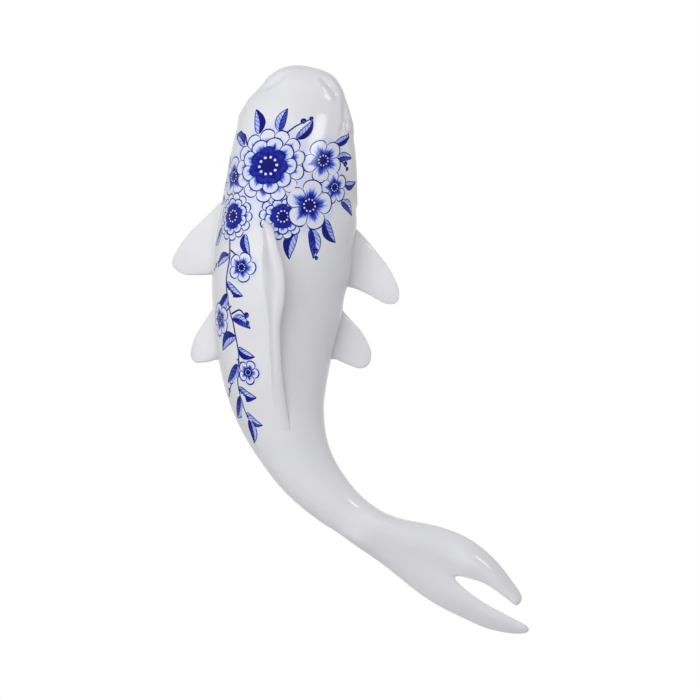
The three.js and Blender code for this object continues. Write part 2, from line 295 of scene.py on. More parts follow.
def skin(station, angle, offset=0.0):  # angle 0 right flank, 90 back, 180 left flank, 270 belly
    left = np.maximum(0, 1 - (station + offset) / (body["noseLength"] + offset))
    rounding = np.sqrt(np.maximum(0, 1 - left ** 2))
    lift = np.sin(angle)
    up = lift > 0
    reach = np.where(up, backAt(station) - body["seam"], body["seam"] - keelAt(station))
    shift = np.where(up, crestShiftAt(station) * lift ** 2, 0)
    sideways = rounding * ((halfWidthAt(station) + offset) * np.cos(angle) - shift)
    foot, ease = body["footHeight"], body["footEase"]
    above = body["seam"] + rounding * (reach + offset) * lift - foot + offset
    soft = body["footSoftness"] * np.clip((foot + ease - above) / ease, 0, 1)
    height = foot - offset + (above + np.sqrt(above ** 2 + soft ** 2)) / 2
    return place(station, sideways, height)


ringAngles = np.radians(np.linspace(-90, 270, body["ringSamples"]))


def angleAt(station, across):  # angle of a skin point, by millimetres across from the crest
    station, across = np.broadcast_arrays(np.asarray(station, float), across)
    angles = np.empty(station.shape)
    for k in np.ndindex(station.shape):
        run = runAlong(skin(np.full(ringAngles.shape, station[k]), ringAngles))
        angles[k] = np.interp(np.interp(math.pi / 2, ringAngles, run) - across[k], run, ringAngles)
    return angles


# Modelled detail of the head, and the soft fullness of the casting

head = {
    "folds": [  # across and station along each fold, depth, half width
        ([(8, 4.5), (11.5, 6.5), (15.5, 9), (19, 11.5), (22.5, 14.5)], 1.0, 1.7),  # right corner of the mouth
        ([(-7, 4.5), (-9.5, 7), (-13, 10.5), (-18, 13.5), (-25, 15.5)], 0.65, 1.7),  # left corner
        ([(25.5, 12), (27.5, 19), (29, 26), (29.5, 36)], 0.8, 1.6),  # fold beside the right eye
    ],
    "foldBank": 0.4, "bankGap": 2,  # raised beside a fold, as a share of its depth, and how many widths off
    "gillCovers": [  # hind edge of each cover
        [(31, 32), (36.5, 42), (43, 52), (49.5, 61), (57, 67), (66, 69)],
        [(-58, 34), (-63, 45), (-67, 56), (-74, 64)],
    ],
    "gillStep": 0.9, "gillFall": 2.4, "gillReach": 15, "gillBehind": 0.5,
    "lineSamples": 40, "lineEase": 8,  # a fold or cover eases out over the last samples
    "swellings": [  # x and z in the front view, amount, reach
        (12, 64, 1.7, 8),  # right side of the snout
        (-22, 59, -3.0, 9),  # left side of the snout
        (23, 42, 0.8, 12),  # right brow
        (26.5, -12, 1.3, 7),  # before the right pectoral fin
        (21.5, -49, -1.3, 7),  # behind it
        (9, -107, 1.6, 22),  # inside of the bend
        (4, -161, -1.1, 17),  # outside of the stalk
        (17, -168, -1.5, 12),  # before the tail
    ],
    "eyeStation": 28.5, "eyeAngles": {"eye_right": 20, "eye_left": 198},
    "browRadius": 5.3, "browHeight": 0.5, "browWidth": 1.1,
}


def bump(gap, width):
    return np.exp(-(gap / width) ** 2)


def nearestOn(points, line):  # distance to a line on the skin, its nearest point, weight less at the ends
    path = smoothPath(line, head["lineSamples"])
    edge = skin(path[:, 1], angleAt(path[:, 1], path[:, 0]))
    gaps = np.array([np.linalg.norm(points - spot, axis=1) for spot in edge])
    nearest = gaps.argmin(0)
    weight = np.clip(np.minimum(nearest, len(edge) - 1 - nearest) / head["lineEase"], 0, 1)
    return gaps.min(0), nearest, weight, edge, place(path[:, 1], 0, body["seam"])


def swellAt(points):
    relief = np.zeros(len(points))
    for x, z, amount, reach in head["swellings"]:
        relief += amount * np.exp(-((points[:, 0] - x) ** 2 + (points[:, 2] - z) ** 2) / reach ** 2)
    return relief


def headRelief(points):
    relief = swellAt(points)
    for line, depth, width in head["folds"]:
        gap, _, weight, _, _ = nearestOn(points, line)
        bank = head["foldBank"] * bump(gap - head["bankGap"] * width, width)
        relief += depth * weight * (bank - bump(gap, width))
    for line in head["gillCovers"]:
        gap, nearest, weight, edge, middle = nearestOn(points, line)
        turn = np.cross(np.gradient(edge, axis=0)[nearest], points - edge[nearest])
        over = np.sum(turn * (edge - middle)[nearest], axis=1) * np.sign(line[0][0]) > 0
        behind = head["gillBehind"] * bump(gap, head["gillFall"])
        relief += head["gillStep"] * weight * np.where(over, bump(gap, head["gillReach"]), behind)
    for degrees in head["eyeAngles"].values():
        centre = skin(np.array([head["eyeStation"]]), np.radians([degrees]))[0]
        gap = np.linalg.norm(points - centre, axis=1) - head["browRadius"]
        relief += head["browHeight"] * bump(gap, head["browWidth"])
    return relief


def bodyStations(tip, end):
    nose = body["noseLength"]
    turns = np.linspace(0, math.pi / 2, body["noseRings"] + 1)[1:]
    steps = round((body["tailJoint"] - nose) / body["ringStep"])
    front = tip + (nose - tip) * (1 - np.cos(turns))
    return np.concatenate([front, np.linspace(nose, end, steps + 1)[1:]])


def halfShell(name, firstDegrees):  # a cast half body with its wall, its rims and its solid end
    columns = body["halfRingPoints"]
    angles = np.radians(firstDegrees + np.linspace(0, 180, columns))
    angles[[0, -1]] += np.array([body["rimNudge"], -body["rimNudge"]])
    outer = bodyStations(0, body["tailJoint"])
    inner = bodyStations(body["wall"], body["tailJoint"] - body["tailEndWall"])
    rows = len(outer)
    gridStations, gridAngles = (g.ravel() for g in np.meshgrid(outer, angles, indexing="ij"))
    outside = skin(gridStations, gridAngles, headRelief(skin(gridStations, gridAngles)))
    inside = skin(np.repeat(inner, columns), gridAngles, -float(body["wall"]))
    poles = place(np.array([0.0, body["wall"]]), 0, body["seam"])
    second = rows * columns
    outPole, inPole = 2 * second, 2 * second + 1
    faces = gridFaces(rows, columns) + [f[::-1] for f in gridFaces(rows, columns, second)]
    for j in range(columns - 1):
        faces += [(outPole, j + 1, j), (inPole, second + j, second + j + 1)]
    for j in (0, columns - 1):
        edge = [i * columns + j for i in range(rows)]
        rim = [(a, b, second + b, second + a) for a, b in zip(edge, edge[1:])]
        rim.append((outPole, j, second + j, inPole))
        faces += rim if j else [f[::-1] for f in rim]
    lastOut = [(rows - 1) * columns + j for j in range(columns)]
    lastIn = [second + k for k in lastOut]
    faces += [lastOut, lastIn[::-1], (lastOut[0], lastIn[0], lastIn[-1], lastOut[-1])]
    piece = newPiece(name, np.concatenate([outside, inside, poles]), faces)
    reworkMesh(piece)
    return piece, gridStations, outside.reshape(rows, columns, 3)


# Painting: brush strokes laid out in millimetres across from the crest and along from the snout

painting = {
    "underBlossoms": [  # across, station, radius, turn in degrees, kind: 0 peony, 1 five petals, 2 berry
        (22.5, 47.5, 11, 20, 1),
        (5.5, 77, 11.5, 12, 0),
        (-25.5, 59, 10.5, -30, 1),
        (31.5, 60, 8, 35, 1),
        (7.5, 28.5, 1.5, 0, 2),
        (11, 26.8, 1.2, 0, 2),
        (-26, 37, 1.5, 0, 2),
        (-29, 39, 1.2, 0, 2),
        (36.5, 48, 1.4, 0, 2),
        (38.5, 50.5, 1.1, 0, 2),
        (25, 92, 1.4, 0, 2),
        (26, 95.5, 1.1, 0, 2),
        (-33.5, 104, 1.3, 0, 2),
        (-36, 106, 1.1, 0, 2),
        (-8.5, 127, 1.3, 0, 2),
        (-8, 130.5, 1.0, 0, 2),
        (-25, 161, 1.2, 0, 2),
        (-27.5, 163, 1.0, 0, 2),
    ],
    "upperBlossoms": [
        (-5, 52.5, 18.5, 8, 0),
        (18.5, 70, 12.5, -14, 1),
        (-21.5, 79.5, 12, 25, 0),
        (-12, 104, 7.5, 0, 1),
        (-27, 130, 7.5, 40, 1),
        (-9.5, 153.5, 5.6, 10, 1),
    ],
    "leaves": [  # across and station of the foot, length, heading in degrees, bend, tone
        (-13, 37, 13, -115, 0.10, 1.0),
        (-3, 35, 12, -84, -0.10, 0.75),
        (6.5, 38, 12, -62, 0.10, 1.0),
        (-20.5, 43, 12, -152, 0.12, 0.8),
        (-33, 53, 11, -160, 0.12, 1.0),
        (-34.5, 62, 11, 170, -0.12, 0.8),
        (-33, 71, 12, 160, 0.12, 1.0),
        (27, 38.5, 11, -40, 0.12, 1.0),
        (29.5, 46.5, 11, -8, -0.12, 0.8),
        (38, 58, 10, -12, 0.12, 1.0),
        (37, 66, 12, 32, -0.12, 0.8),
        (28, 76, 14, 50, 0.12, 1.0),
        (21, 81.5, 15, 78, -0.12, 0.8),
        (13, 84, 14, 96, 0.12, 1.0),
        (-31.5, 85.5, 13, 138, -0.14, 1.0),
        (-12.5, 88, 11, 66, 0.12, 0.9),
        (-20.5, 99, 12, 150, 0.14, 0.8),
        (-20.5, 112, 12, 32, 0.14, 1.0),
        (-19.5, 118, 13, 146, -0.14, 1.0),
        (-16.5, 129, 11, 24, -0.14, 0.8),
        (-15.2, 137, 13, 150, 0.14, 1.0),
        (-14, 142, 10, 26, 0.14, 1.0),
        (-15, 150, 13, 144, -0.14, 0.8),
        (-16.5, 160, 11, 30, 0.14, 1.0),
        (-16.3, 164, 12, 136, -0.14, 0.9),
        (-15.2, 171, 10, 44, 0.14, 0.8),
        (-14.8, 174, 11, 108, -0.14, 1.0),
    ],
    "stems": [  # across and station along each stem
        [(-22, 88), (-20, 100), (-21, 112), (-19, 123), (-15.5, 134), (-14, 146), (-16.5, 158), (-16, 168),
         (-14, 178)],
        [(-20.5, 96), (-16.5, 98), (-13, 101)],
        [(20, 80), (22, 87), (26, 93)],
        [(-20.5, 98), (-27, 100), (-35, 105)],
        [(-18, 124), (-22, 127), (-25, 129)],
        [(-16.8, 127), (-12, 125), (-8.5, 128.5)],
        [(-14.5, 148), (-12.5, 150), (-10.5, 152)],
        [(-17, 155), (-21, 158), (-26.5, 162.5)],
        [(1, 35), (5, 31), (11, 27)],
        [(-19, 42), (-22, 37.5), (-28.5, 38.5)],
        [(29, 49), (33, 47), (38, 50)],
    ],
    "blossomReach": 2.5, "stemReach": 6.0,  # how far a small berry and a stem claim the faces around them
    "stemSamples": 30,
}


def turned(across, along, angle):  # an offset measured along a heading and to its side
    return across * np.cos(angle) + along * np.sin(angle), along * np.cos(angle) - across * np.sin(angle)


def paintLayers(mesh, across, station):  # local brush coordinates on the corners of each face
    vertex = np.empty(len(mesh.loops), int)
    mesh.loops.foreach_get("vertex_index", vertex)
    sizes = np.empty(len(mesh.polygons), int)
    mesh.polygons.foreach_get("loop_total", sizes)
    faceOf = np.repeat(np.arange(len(sizes)), sizes)
    u, v = across[vertex], station[vertex]
    midU, midV = ((np.bincount(faceOf, k) / sizes)[:, None] for k in (u, v))

    def store(name, *channels):
        layer = mesh.attributes.new(name, "FLOAT_VECTOR", "CORNER")
        layer.data.foreach_set("vector", np.stack(channels, 1).astype(np.float32).ravel())

    def storeStrokes(layer, mine, bow=0.0):  # each corner's place on its own blossom or leaf
        size = mine[:, 2]
        along, side = turned((u - mine[:, 0]) / size, (v - mine[:, 1]) / size, np.radians(mine[:, 3]))
        store(layer + "Place", along, side - 4 * bow * along * (1 - np.clip(along, 0, 1)), mine[:, -1])
        store(layer + "Size", size, size, size)

    for layer in ("under", "upper"):
        spots = np.array(painting[layer + "Blossoms"], float)
        claim = np.maximum(spots[:, 2], painting["blossomReach"])
        gaps = np.hypot(midU - spots[:, 0], midV - spots[:, 1]) / claim
        storeStrokes(layer, spots[gaps.argmin(1)][faceOf])

    leaves = np.array(painting["leaves"], float)
    along, side = turned(midU - leaves[:, 0], midV - leaves[:, 1], np.radians(leaves[:, 3]))
    gaps = np.hypot(along - np.clip(along, 0, leaves[:, 2]), side)
    mine = leaves[gaps.argmin(1)][faceOf]
    storeStrokes("leaf", mine, mine[:, 4])

    best = np.full(len(sizes), painting["stemReach"])
    stemGap, stemShare = np.full(len(u), far), np.zeros(len(u))
    for line in painting["stems"]:
        path = smoothPath(line, painting["stemSamples"] * len(line))
        heading = np.gradient(path, axis=0)
        aim = np.arctan2(heading[:, 1], heading[:, 0])
        reach = np.hypot(midU - path[:, 0], midV - path[:, 1]).min(1)
        chosen = np.flatnonzero((reach < best)[faceOf])
        best = np.minimum(best, reach)
        du, dv = u[chosen, None] - path[:, 0], v[chosen, None] - path[:, 1]
        k = np.hypot(du, dv).argmin(1)
        row = np.arange(len(chosen))
        ahead, side = turned(du[row, k], dv[row, k], aim[k])
        stemGap[chosen] = -side
        beyond = np.where((k == 0) | (k == len(path) - 1), np.abs(ahead), 0)
        stemShare[chosen] = k / (len(path) - 1) + beyond
    store("stemPlace", stemGap, stemShare, np.zeros(len(u)))


# Glaze and ink

glaze = {
    "porcelain": (0.72, 0.72, 0.75, 1),
    "pooled": (0.64, 0.65, 0.69, 1), "pooledShare": 0.3,  # where the glaze runs thick
    "roughness": 0.13, "roughDrift": 0.10,
    "mottleNoise": (34, 4, 0.6), "mottleEdge": (0.38, 0.68),  # noises are scale, detail, roughness
    "waves": [(22, 1, 0.06), (2.2, 2, 0.002)],  # size, detail and depth
    "ior": 1.5, "specular": 0.13,
}

bareFoot = {  # clay where the belly was wiped
    "biscuit": (0.74, 0.71, 0.66, 1), "dark": (0.62, 0.59, 0.55, 1), "grit": (1500, 2),
    "edgeNoise": (120, 3), "edgeStray": 1.6, "edge": (-2.35, -1.75), "roughness": 0.75,
}

cobalt = [  # strength of the ink and its colour, from bare glaze to the darkest line
    (0.0, glaze["porcelain"]),
    (0.13, (0.47, 0.56, 0.87, 1)),
    (0.42, (0.075, 0.13, 0.60, 1)),
    (0.75, (0.003, 0.005, 0.24, 1)),
    (1.0, (0.002, 0.002, 0.10, 1)),
]

brush = {
    "outline": 0.30, "wobble": 0.6, "wobbleNoise": (170, 1),  # half a drawn line, how far the brush strays
    "grain": (620, 3, 0.6), "grainInk": 0.30, "cloud": (160, 3, 0.55), "lineInk": 0.95,
    "bareInk": 0.1,  # the glaze pools only where there is less ink
}

stem = {"halfWidth": 0.36, "soft": 0.12, "thick": 1.25, "thinning": 0.5, "end": (1.25, 1.02)}

petal = {  # pairs are where a fade starts and ends; lines are in widths of the drawn line
    "inputs": ("Radius", "Turn", "Count", "Phase", "Foot", "Tip", "Notch", "Foot Ink", "Rim Ink", "Line",
               "Grain"),
    "wash": (0.20, 0.80), "washSide": 0.16, "streak": 0.75,
    "rimLine": (1.5, 0.7), "sideLine": (1.1, 0.4), "sideInk": 0.8, "cover": (1.5, 0.6),
}

leafForm = {
    "inputs": ("Along", "Side", "Tone", "Line", "Grain"),
    "footPower": 0.62, "tipPower": 0.95, "width": 0.66, "ends": 0.02,
    "cover": (-0.6, 0.5), "rimLine": (1.9, 0.9), "ribLine": (1.2, 0.4),
    "veins": 6, "veinSlant": 1.1, "vein": (0.16, 0.05), "veinInk": 0.35,
    "halves": (-0.02, 0.02), "halfTones": (0.26, 0.86), "tipFade": 0.14, "cloudy": 0.6,
}

blossom = {
    "halo": (1.3, 0.95), "haloInk": 0.07, "fan": (46, 2),
    "outer": ((5, 13), (0.14, 0.50), (0.42, 0.20)),  # petals, foot and notch, of five petals and of a peony
    "rings": [  # petals, phase, foot, tip, notch, ink at the foot and at the rim
        (None, 0.0, None, 1.0, None, 0.88, 0.02),
        (9, 0.3, 0.32, 0.77, 0.26, 0.94, 0.05),  # this and the next one on peonies only
        (7, 0.1, 0.05, 0.52, 0.30, 0.96, 0.72),
    ],
    "heart": (0.17, 0.14), "heartInk": 0.92,
    "beads": 10, "beadWidth": 0.15, "beadRadius": 0.235, "bead": (0.045, 0.03), "beadInk": 0.02,
    "berry": (1.05, 0.85), "berryShine": (-0.2, 0.9), "berryInk": (0.45, 1.0),
}


def floats(names):
    return dict.fromkeys(names, "Float")


def glazeSkinGroup():  # mottle, roughness and slow waves of a dipped glaze
    sketch, enter, leave = newGroup("glazeSkin", {"Vector": "Vector", "Roughness": "Float"},
                                    floats(("Mottle", "Roughness", "Height")))
    at = enter["Vector"]
    mottle = sketch.noise(at, *glaze["mottleNoise"])
    drift = (mottle - 0.5) * glaze["roughDrift"]
    slow, fine = (sketch.noise(at, 1 / (size * mm), detail) * (depth * mm)
                  for size, detail, depth in glaze["waves"])
    sketch.fill(leave, {"Mottle": sketch.fade(mottle, *glaze["mottleEdge"]), "Height": slow + fine,
                        "Roughness": sketch.calc("ADD", enter["Roughness"], drift, clamp=True)})
    return sketch.tree


def petalRingGroup():  # one ring of petals: pale rims, drawn edges, a wash that deepens to the foot
    sketch, enter, leave = newGroup("petalRing", floats(petal["inputs"]), floats(("Ink", "Mask")))
    radius, turn, count, phase, foot, tip, notch, footInk, rimInk, line, grain = (
        enter[name] for name in petal["inputs"])
    off = abs(sketch.calc("FRACT", turn * count + phase) - 0.5) * 2
    dome = sketch.calc("SQRT", 1 - off * off)
    edge = tip * (1 - (1 - dome) * notch)
    beyond = radius - edge
    spread = (radius - foot) / (edge - foot) + (off * petal["washSide"] + (grain - 0.5) * petal["streak"])
    wash = sketch.between(sketch.fade(spread, *petal["wash"]), footInk, rimInk)
    rim = sketch.drawn(abs(beyond), line, petal["rimLine"])
    side = sketch.drawn((1 - off) * (radius * math.pi / count), line, petal["sideLine"])
    lines = sketch.most(rim, side * petal["sideInk"]) * brush["lineInk"]
    sketch.fill(leave, {"Ink": sketch.most(wash, lines), "Mask": sketch.drawn(beyond, line, petal["cover"])})
    return sketch.tree


def leafBrushGroup():  # a two-toned leaf: dark half, washed half, midrib, side veins and outline
    sketch, enter, leave = newGroup("leafBrush", floats(leafForm["inputs"]), floats(("Ink", "Mask")))
    along, side, tone, line, grain = (enter[name] for name in leafForm["inputs"])
    fromFoot, toTip = sketch.most(along, 0.0), sketch.most(1 - along, 0.0)
    away = abs(side)
    half = fromFoot ** leafForm["footPower"] * toTip ** leafForm["tipPower"] * leafForm["width"]
    rim = sketch.drawn(half - away, line, leafForm["rimLine"])
    rib = sketch.drawn(away, line, leafForm["ribLine"])
    slant = sketch.calc("FRACT", (along - away * leafForm["veinSlant"]) * leafForm["veins"])
    vein = sketch.fade(abs(slant - 0.5), *leafForm["vein"]) * leafForm["veinInk"]
    darkHalf = sketch.fade(side, *leafForm["halves"])
    wash = tone * sketch.between(darkHalf, *leafForm["halfTones"]) - fromFoot * leafForm["tipFade"]
    wash = wash + ((grain - 0.5) * leafForm["cloudy"] + vein)
    ends = sketch.fade(along, 0.0, leafForm["ends"]) * sketch.fade(along, 1.0, 1 - leafForm["ends"])
    sketch.fill(leave, {"Ink": sketch.most(wash, sketch.most(rim, rib) * brush["lineInk"], clamp=True),
                        "Mask": sketch.drawn(half - away, line, leafForm["cover"]) * ends})
    return sketch.tree


glazeSkin, petalRing, leafBrush = glazeSkinGroup(), petalRingGroup(), leafBrushGroup()


# Materials

def newMaterial(name, settings):
    material = bpy.data.materials.new(name)
    material.use_nodes = True
    shader = material.node_tree.nodes["Principled BSDF"]
    sketch = Sketch(material.node_tree)
    sketch.fill(shader, settings)
    return material, sketch, shader, sketch.make("ShaderNodeTexCoord", output="Object")


def newGlaze(name):
    settings = {"IOR": glaze["ior"], "Specular IOR Level": glaze["specular"]}
    material, sketch, shader, at = newMaterial(name, settings)
    mottle = sketch.group(glazeSkin, {"Vector": at, "Roughness": glaze["roughness"]})
    return material, sketch, shader, at, mottle


def dressShader(sketch, shader, colour, roughness, height, strength=1.0, distance=1.0):
    normal = sketch.make("ShaderNodeBump", {"Strength": strength, "Distance": distance, "Height": height})
    sketch.fill(shader, {"Base Color": colour, "Roughness": roughness, "Normal": normal})


def clearGlazeMaterial():  # white glaze, with the bare clay of the foot
    material, sketch, shader, at, mottle = newGlaze("clearGlaze")
    colour = sketch.tint(mottle * glaze["pooledShare"], glaze["porcelain"], glaze["pooled"])
    depth = sketch.noise(at, *bareFoot["edgeNoise"]) * (bareFoot["edgeStray"] * mm) + sketch.split(at)[1]
    bare = sketch.fade(depth, *(edge * mm for edge in bareFoot["edge"]))
    clay = sketch.tint(sketch.noise(at, *bareFoot["grit"]), bareFoot["biscuit"], bareFoot["dark"])
    roughness = sketch.between(bare, mottle.also("Roughness"), bareFoot["roughness"])
    dressShader(sketch, shader, sketch.tint(bare, colour, clay), roughness, mottle.also("Height"))
    return material


def paintedGlazeMaterial():  # white glaze over cobalt brushwork
    material, sketch, shader, at, mottle = newGlaze("paintedGlaze")
    calc, fade, between = sketch.calc, sketch.fade, sketch.between
    wander = sketch.noise(at, *brush["wobbleNoise"]).also("Color")
    sway = sketch.vector("SUBTRACT", wander, (0.5, 0.5, 0.5))

    def layerValue(name, output):
        return sketch.make("ShaderNodeAttribute", {}, output, attribute_name=name)

    def brushPlace(layer):  # local coordinates, with the stray of the hand added
        spot, size = layerValue(layer + "Place", "Vector"), layerValue(layer + "Size", "Fac")
        hand = sketch.make("ShaderNodeVectorMath", {0: sway, "Scale": brush["wobble"] / size},
                           operation="SCALE")
        x, y, _ = sketch.split(sketch.vector("ADD", spot, hand))
        return x, y, sketch.split(spot)[2], brush["outline"] / size

    def length(x, y):
        return calc("SQRT", x * x + y * y)

    def blossomsOver(ink, layer):
        x, y, kind, line = brushPlace(layer)
        radius = length(x, y)
        turn = calc("ARCTAN2", y, x) * (0.5 / math.pi) + 0.5
        isPeony, isBerry = calc("LESS_THAN", kind, 0.5), calc("GREATER_THAN", kind, 1.5)
        isFlower = 1 - isBerry
        around, outwards = blossom["fan"]
        fan = sketch.noise(sketch.join(turn * around, radius * outwards, kind), 1.0)
        ink = sketch.most(ink, fade(radius, *blossom["halo"]) * blossom["haloInk"] * isFlower)
        outer = [between(isPeony, five, many) for five, many in blossom["outer"]]
        for number, (count, phase, footAt, tip, notch, footInk, rimInk) in enumerate(blossom["rings"]):
            only = isPeony if number else isFlower
            if not number:
                count, footAt, notch = outer
            values = radius, turn, count, phase, footAt, tip, notch, footInk, rimInk, line, fan
            ring = sketch.group(petalRing, dict(zip(petal["inputs"], values)))
            ink = between(ring.also("Mask") * only, ink, ring.also("Ink"))
        ink = between(fade(radius, *blossom["heart"]) * isFlower, ink, blossom["heartInk"])
        beadSide = (calc("FRACT", turn * blossom["beads"]) - 0.5) * blossom["beadWidth"]
        bead = fade(length(beadSide, radius - blossom["beadRadius"]), *blossom["bead"])
        ink = between(bead * isFlower, ink, blossom["beadInk"])
        shine = fade(radius - (x + y) * 0.5, *blossom["berryShine"])
        berry = between(shine, *blossom["berryInk"])
        return between(fade(radius, *blossom["berry"]) * isBerry, ink, berry)

    # stems first, leaves over them, blossoms on top
    stemSide, stemRun, _ = sketch.split(layerValue("stemPlace", "Vector"))
    stemSide = abs(stemSide + sketch.split(sway)[0] * brush["wobble"])
    thick = (stem["thick"] - stemRun * stem["thinning"]) * stem["halfWidth"]
    ink = fade(stemSide - thick, stem["soft"], -stem["soft"]) * fade(stemRun, *stem["end"]) * brush["lineInk"]
    strokes = *brushPlace("leaf"), sketch.noise(at, *brush["cloud"])
    leaf = sketch.group(leafBrush, dict(zip(leafForm["inputs"], strokes)))
    ink = between(leaf.also("Mask"), ink, leaf.also("Ink"))
    for layer in ("under", "upper"):
        ink = blossomsOver(ink, layer)
    patchy = (sketch.noise(at, *brush["grain"]) - 0.5) * brush["grainInk"] + 1
    ink = calc("MULTIPLY", ink, patchy, clamp=True)
    ramp = sketch.make("ShaderNodeValToRGB", {0: ink})
    marks = ramp.socket.node.color_ramp.elements
    for position, _ in cobalt[1:-1]:
        marks.new(position)
    for mark, (position, colour) in zip(marks, cobalt):
        mark.position = position
        mark.color = colour
    bare = mottle * fade(ink, brush["bareInk"], 0.0)
    colour = sketch.tint(bare * glaze["pooledShare"], ramp, glaze["pooled"])
    dressShader(sketch, shader, colour, mottle.also("Roughness"), mottle.also("Height"))
    return material


grainy = {  # two noises: the first mixes two colours, the second adds a third
    "bareBisque": {
        "fine": (1400, 3, 0.6), "cloud": (90, 3), "order": ("cloud", "fine"),
        "edge": (0.35, 0.7), "share": 0.35,
        "colours": (bareFoot["biscuit"], (0.66, 0.62, 0.56, 1), (0.5, 0.47, 0.43, 1)),
        "roughness": (0.62, 0.9), "bump": (0.6, 0.1 * mm), "shader": {"IOR": 1.45},
    },
    "woolFelt": {
        "fine": (2600, 4, 0.7), "cloud": (420, 3, 0.6), "order": ("fine", "cloud"),
        "edge": (0.3, 0.7), "share": 0.5,
        "colours": ((0.20, 0.195, 0.19, 1), (0.46, 0.45, 0.435, 1), (0.34, 0.33, 0.32, 1)),
        "roughness": (0.85, 1.0), "bump": (0.9, 0.25 * mm),
        "shader": {"IOR": 1.45, "Sheen Weight": 0.35, "Sheen Roughness": 0.5},
    },
}


def grainyMaterial(name):
    form = grainy[name]
    material, sketch, shader, at = newMaterial(name, form["shader"])
    noises = {key: sketch.noise(at, *form[key]) for key in ("fine", "cloud")}
    first, second = (noises[key] for key in form["order"])
    low, high, last = form["colours"]
    colour = sketch.tint(sketch.fade(first, *form["edge"]), low, high)
    colour = sketch.tint(second * form["share"], colour, last)
    roughness = sketch.between(noises["fine"], *form["roughness"])
    dressShader(sketch, shader, colour, roughness, noises["fine"], *form["bump"])
    return material


clearGlaze, paintedGlaze = clearGlazeMaterial(), paintedGlazeMaterial()
bareBisque, woolFelt = (grainyMaterial(name) for name in grainy)
print("materials ready")


# Body castings

keyhole = {
    "slotRadius": 2.75, "entryRadius": 5.5, "entryDrop": 12, "slotPoints": 25, "entryPoints": 49,
    "easing": [(-3, 1.4), (2.0, 1.1), (2.25, 0.65), (2.7, 0.25), (3.4, 0), (14, 0)],  # height, growth of rim
}


def keyholeRing(height, growth):
    slot, entry = keyhole["slotRadius"] + growth, keyhole["entryRadius"] + growth
    turn = math.atan2(math.sqrt(entry ** 2 - slot ** 2), slot)
    top = np.linspace(0, math.pi, keyhole["slotPoints"])
    low = np.linspace(math.pi - turn, 2 * math.pi + turn, keyhole["entryPoints"])
    ring = [(slot * math.cos(a), -height, slot * math.sin(a)) for a in top]
    return ring + [(entry * math.cos(a), -height, entry * math.sin(a) - keyhole["entryDrop"]) for a in low]


def cutKeyhole(piece):
    cutter = tubePiece("keyholeCutter", [keyholeRing(*step) for step in keyhole["easing"]])
    cut = piece.modifiers.new("keyhole", "BOOLEAN")
    cut.object, cut.operation, cut.solver = cutter, "DIFFERENCE", "EXACT"
    bakeModifiers(piece)
    bpy.data.objects.remove(cutter)


backShell, shellStations, shellGrid = halfShell("backShell", 0)
bellyShell, _, _ = halfShell("bellyShell", 180)
cutKeyhole(bellyShell)
across = np.array([runAlong(row) for row in shellGrid])
across = (across[:, [body["halfRingPoints"] // 2]] - across).ravel()
unpainted = np.full(len(backShell.data.vertices) - len(across), far)
paintLayers(backShell.data, np.concatenate([across, unpainted]), np.concatenate([shellStations, unpainted]))
finishPiece(backShell, paintedGlaze, "painted_porcelain", "back_shell")
finishPiece(bellyShell, clearGlaze, "porcelain", "belly_shell", creaseAngle=35)


# Dorsal fin: a waved blade with a rolled lip, on the crest

dorsal = {
    "start": 80, "end": 188, "height": 13, "sink": 1.2,
    "frontRise": 14, "hindClose": 7, "fallStretch": 1.1, "fallPower": 1.2,
    # run along the fin, and millimetres to the right of the crest
    "ridge": [(0, -2.8), (3, -1.2), (8.5, 0.8), (14, 2.6), (19, 4.4), (24, 6.2), (29.5, 7.4), (35, 7.5),
              (40, 7.0), (45.5, 6.3), (51, 5.8), (61, 5.5), (72, 5.2), (83, 4.9), (93, 4.3), (108, 2.8)],
    "lip": [(0, -2), (3, 1.4), (8.5, 3.8), (14, 6.0), (19, 8.2), (24, 9.8), (29.5, 10.7), (35, 10.9),
            (40, 10.4), (45.5, 9.4), (51, 8.4), (61, 8.0), (72, 7.7), (83, 7.4), (93, 6.4), (108, 3.4)],
    "leftFoot": [(0, -3.6), (3, -3.7), (8.5, -2.8), (14, -2.4), (19, -2.6), (24, -2.4), (29.5, -1.6),
                 (35, -0.2), (40, 1.2), (51, 2.4), (61, 2.4), (72, 2.0), (83, 0.6), (93, -1.2), (102, -1.8),
                 (108, -0.8)],
    "rightFoot": [(0, -2), (3, 1.2), (8.5, 3.2), (14, 4.8), (20, 6.0), (30, 6.8), (42, 6.4), (55, 6.0),
                  (68, 6.6), (80, 7.6), (92, 7.8), (101, 7.4), (108, 5.8)],
    # run along the fin, and how far the top spreads to the left foot, as a share
    "shoulder": [(0, 0.85), (10, 0.85), (18, 0.6), (24, 0.45), (32, 0.45), (42, 0.65), (52, 0.75),
                 (72, 0.75), (84, 0.55), (96, 0.4), (108, 0.4)],
    "lipDrop": 2.0, "lipShare": 0.4,  # at most this share of the height
    "topSlope": 0.02, "topReach": 0.75, "edgeReach": 0.7,  # of the strokes between ridge, lip and feet
    "underReach": 0.5, "heelReach": 1.6,
    "sunk": 0.06, "endSunk": 0.5, "sunkPower": 1.5, "root": 5,  # below the skin
    "rings": 170, "leftPoints": 22, "edgePoints": 10, "rightPoints": 14,
    "pathSamples": 600, "skinSamples": 361,
}


def dorsalPath(name, run):
    path = smoothPath(dorsal[name], dorsal["pathSamples"])
    return float(np.interp(run, path[:, 0], path[:, 1]))


def bend(start, first, second, end, count):  # a cubic stroke, without its last point
    t = np.linspace(0, 1, count, endpoint=False)[:, None]
    return (1 - t) ** 3 * start + 3 * (1 - t) ** 2 * t * first + 3 * (1 - t) * t ** 2 * second + t ** 3 * end


